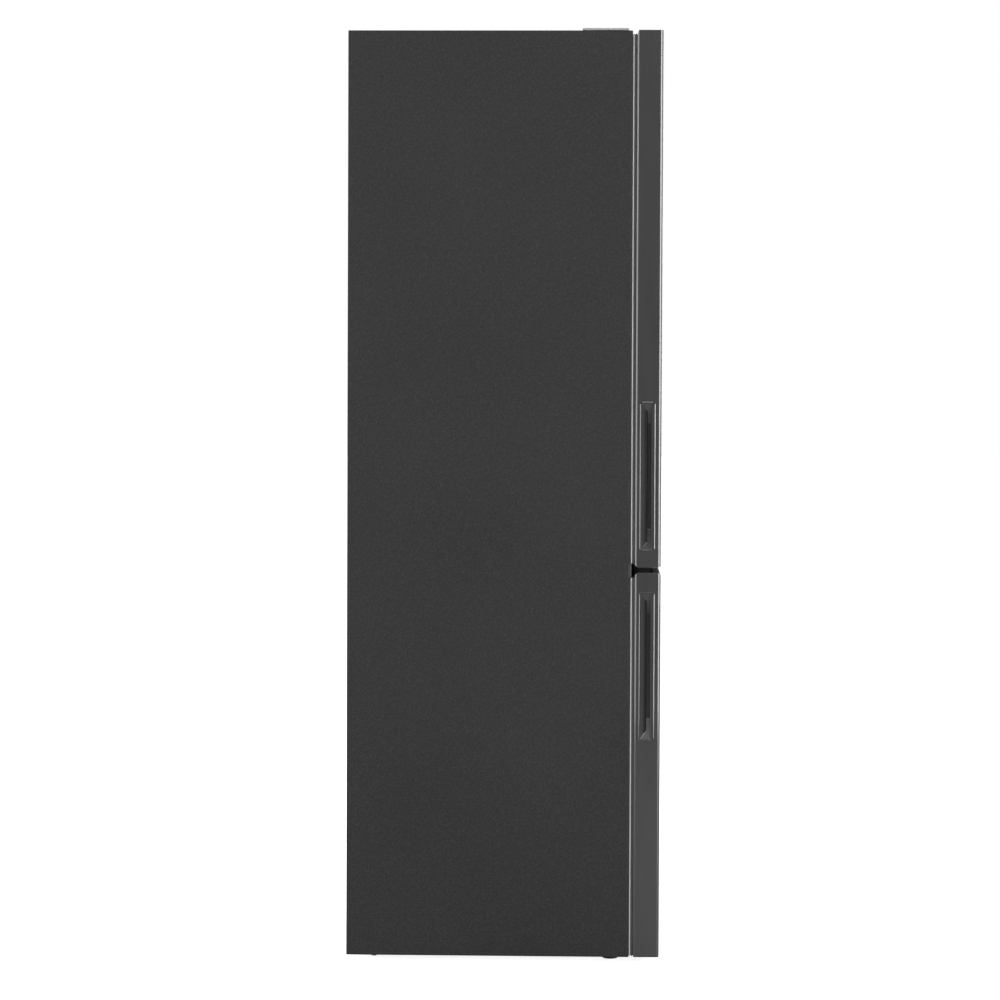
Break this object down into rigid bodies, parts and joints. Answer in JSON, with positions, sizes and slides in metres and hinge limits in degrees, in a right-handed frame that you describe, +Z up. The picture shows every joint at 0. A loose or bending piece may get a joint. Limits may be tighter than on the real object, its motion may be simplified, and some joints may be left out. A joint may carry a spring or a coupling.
{
  "type": "bottom freezer refrigerator",
  "caption": "Tall free-standing refrigerator with a fridge above and a freezer below, dark grey, two side-hinged doors with recessed side grips, shelves, drawers and door baskets.",
  "frame": {"origin": "centre of the footprint, on the floor that the feet and rollers stand on", "axes": "+Z up, -Y out of the doors, +X to the right seen from the doors, where the hinges are"},
  "size_m": [0.595, 0.682, 2.03],
  "materials": {
    "side_paint": "fine-textured dark grey coil coat",
    "door_paint": "smooth satin graphite",
    "black_steel": "black satin paint",
    "zinc_steel": "zinc-plated sheet",
    "back_coating": "plain grey coated sheet",
    "white_plastic": "satin white moulded plastic",
    "grey_plastic": "fine matt light grey plastic",
    "black_plastic": "matt black plastic",
    "clear_plastic": "clear, slightly cool plastic",
    "lamp_diffuser": "frosted plastic",
    "shelf_glass": "clear toughened glass with light trims",
    "seal_rubber": "soft light grey seal",
    "foot_rubber": "matt black rubber",
    "aluminium": "plain rolled fins",
    "copper": "dull copper tube",
    "foam": "foamed insulation"
  },
  "bodies": {
    "cabinet": {"cabinet_wrap": "side_paint", "mullion_rail": "black_steel", "compressor": "black_steel", "base_pan": "zinc_steel", "top_hinge": "zinc_steel", "middle_hinge": "zinc_steel", "bottom_hinge": "zinc_steel", "back_panel": "back_coating", "fridge_liner": "white_plastic", "freezer_liner": "white_plastic", "evaporator_cover": "white_plastic", "air_duct_cover": "white_plastic", "control_board_box": "white_plastic", "top_hinge_cover": "grey_plastic", "control_panel": "grey_plastic", "relay_box": "black_plastic", "drip_tray": "black_plastic", "fan_motor": "black_plastic", "machine_cover": "black_plastic", "ceiling_lamp": "lamp_diffuser", "glass_shelf_1": "shelf_glass", "glass_shelf_2": "shelf_glass", "glass_shelf_3": "shelf_glass", "crisper_cover": "shelf_glass", "freezer_glass_1": "shelf_glass", "freezer_glass_2": "shelf_glass", "cord_gland": "foot_rubber", "evaporator": "aluminium", "condenser_coil": "copper", "filter_drier": "copper", "suction_line": "copper", "insulation_foam": "foam"},
    "fridge_door": {"fridge_door_skin": "door_paint", "fridge_door_grip": "door_paint", "fridge_door_liner": "white_plastic", "fridge_door_top_cap": "black_plastic", "fridge_door_bottom_cap": "black_plastic", "fridge_door_gasket": "seal_rubber", "fridge_door_foam": "foam"},
    "freezer_door": {"freezer_door_skin": "door_paint", "freezer_door_grip": "door_paint", "freezer_door_liner": "white_plastic", "freezer_door_top_cap": "black_plastic", "freezer_door_bottom_cap": "black_plastic", "freezer_door_gasket": "seal_rubber", "freezer_door_foam": "foam"},
    "crisper_drawer": {"crisper_drawer": "clear_plastic"},
    "freezer_drawer_bottom": {"freezer_drawer_bottom": "clear_plastic"},
    "freezer_drawer_middle": {"freezer_drawer_middle": "clear_plastic"},
    "freezer_drawer_top": {"freezer_drawer_top": "clear_plastic"},
    "door_basket_bottom": {"door_basket_bottom": "clear_plastic"},
    "door_basket_middle": {"door_basket_middle": "clear_plastic"},
    "door_basket_top": {"door_basket_top": "clear_plastic"},
    "front_foot_left": {"front_foot_left": "foot_rubber"},
    "front_foot_right": {"front_foot_right": "foot_rubber"},
    "rear_roller_left": {"rear_roller_left": "black_plastic"},
    "rear_roller_right": {"rear_roller_right": "black_plastic"},
    "evaporator_fan": {"evaporator_fan": "black_plastic"},
    "control_button_1": {"control_button_1": "white_plastic"},
    "control_button_2": {"control_button_2": "white_plastic"}
  },
  "joints": [
    {"name": "fridge_door_hinge", "type": "hinge", "parent": "cabinet", "child": "fridge_door", "pos_m": [0.2775, -0.315, 1.445], "axis": [0, 0, 1], "range_deg": [0, 120]},
    {"name": "freezer_door_hinge", "type": "hinge", "parent": "cabinet", "child": "freezer_door", "pos_m": [0.2775, -0.315, 0.433], "axis": [0, 0, 1], "range_deg": [0, 120]},
    {"name": "crisper_drawer_slide", "type": "slide", "parent": "cabinet", "child": "crisper_drawer", "axis": [0, -1, 0], "range_m": [0, 0.3]},
    {"name": "freezer_drawer_bottom_slide", "type": "slide", "parent": "cabinet", "child": "freezer_drawer_bottom", "axis": [0, -1, 0], "range_m": [0, 0.26]},
    {"name": "freezer_drawer_middle_slide", "type": "slide", "parent": "cabinet", "child": "freezer_drawer_middle", "axis": [0, -1, 0], "range_m": [0, 0.26]},
    {"name": "freezer_drawer_top_slide", "type": "slide", "parent": "cabinet", "child": "freezer_drawer_top", "axis": [0, -1, 0], "range_m": [0, 0.26]},
    {"name": "door_basket_bottom_lift", "type": "slide", "parent": "fridge_door", "child": "door_basket_bottom", "axis": [0, 0, 1], "range_m": [0, 0.03]},
    {"name": "door_basket_middle_lift", "type": "slide", "parent": "fridge_door", "child": "door_basket_middle", "axis": [0, 0, 1], "range_m": [0, 0.03]},
    {"name": "door_basket_top_lift", "type": "slide", "parent": "fridge_door", "child": "door_basket_top", "axis": [0, 0, 1], "range_m": [0, 0.03]},
    {"name": "front_foot_left_screw", "type": "slide", "parent": "cabinet", "child": "front_foot_left", "axis": [0, 0, -1], "range_m": [0, 0.015]},
    {"name": "front_foot_right_screw", "type": "slide", "parent": "cabinet", "child": "front_foot_right", "axis": [0, 0, -1], "range_m": [0, 0.015]},
    {"name": "rear_roller_left_spin", "type": "hinge", "parent": "cabinet", "child": "rear_roller_left", "pos_m": [-0.22, 0.285, 0.013], "axis": [1, 0, 0], "continuous": true},
    {"name": "rear_roller_right_spin", "type": "hinge", "parent": "cabinet", "child": "rear_roller_right", "pos_m": [0.22, 0.285, 0.013], "axis": [1, 0, 0], "continuous": true},
    {"name": "evaporator_fan_spin", "type": "hinge", "parent": "cabinet", "child": "evaporator_fan", "pos_m": [0, 0.2494, 0.696], "axis": [0, 1, 0], "continuous": true},
    {"name": "control_button_1_press", "type": "slide", "parent": "cabinet", "child": "control_button_1", "axis": [0, 0, 1], "range_m": [0, 0.001], "stiffness_N_per_m": 900, "springref_m": -0.0003},
    {"name": "control_button_2_press", "type": "slide", "parent": "cabinet", "child": "control_button_2", "axis": [0, 0, 1], "range_m": [0, 0.001], "stiffness_N_per_m": 900, "springref_m": -0.0003}
  ],
  "couplings": [
    {"joint": "crisper_drawer_slide", "follows": "fridge_door_hinge", "m_per_rad": 0.1},
    {"joint": "freezer_drawer_bottom_slide", "follows": "freezer_door_hinge", "m_per_rad": 0.088},
    {"joint": "freezer_drawer_middle_slide", "follows": "freezer_door_hinge", "m_per_rad": 0.088},
    {"joint": "freezer_drawer_top_slide", "follows": "freezer_door_hinge", "m_per_rad": 0.088}
  ]
}
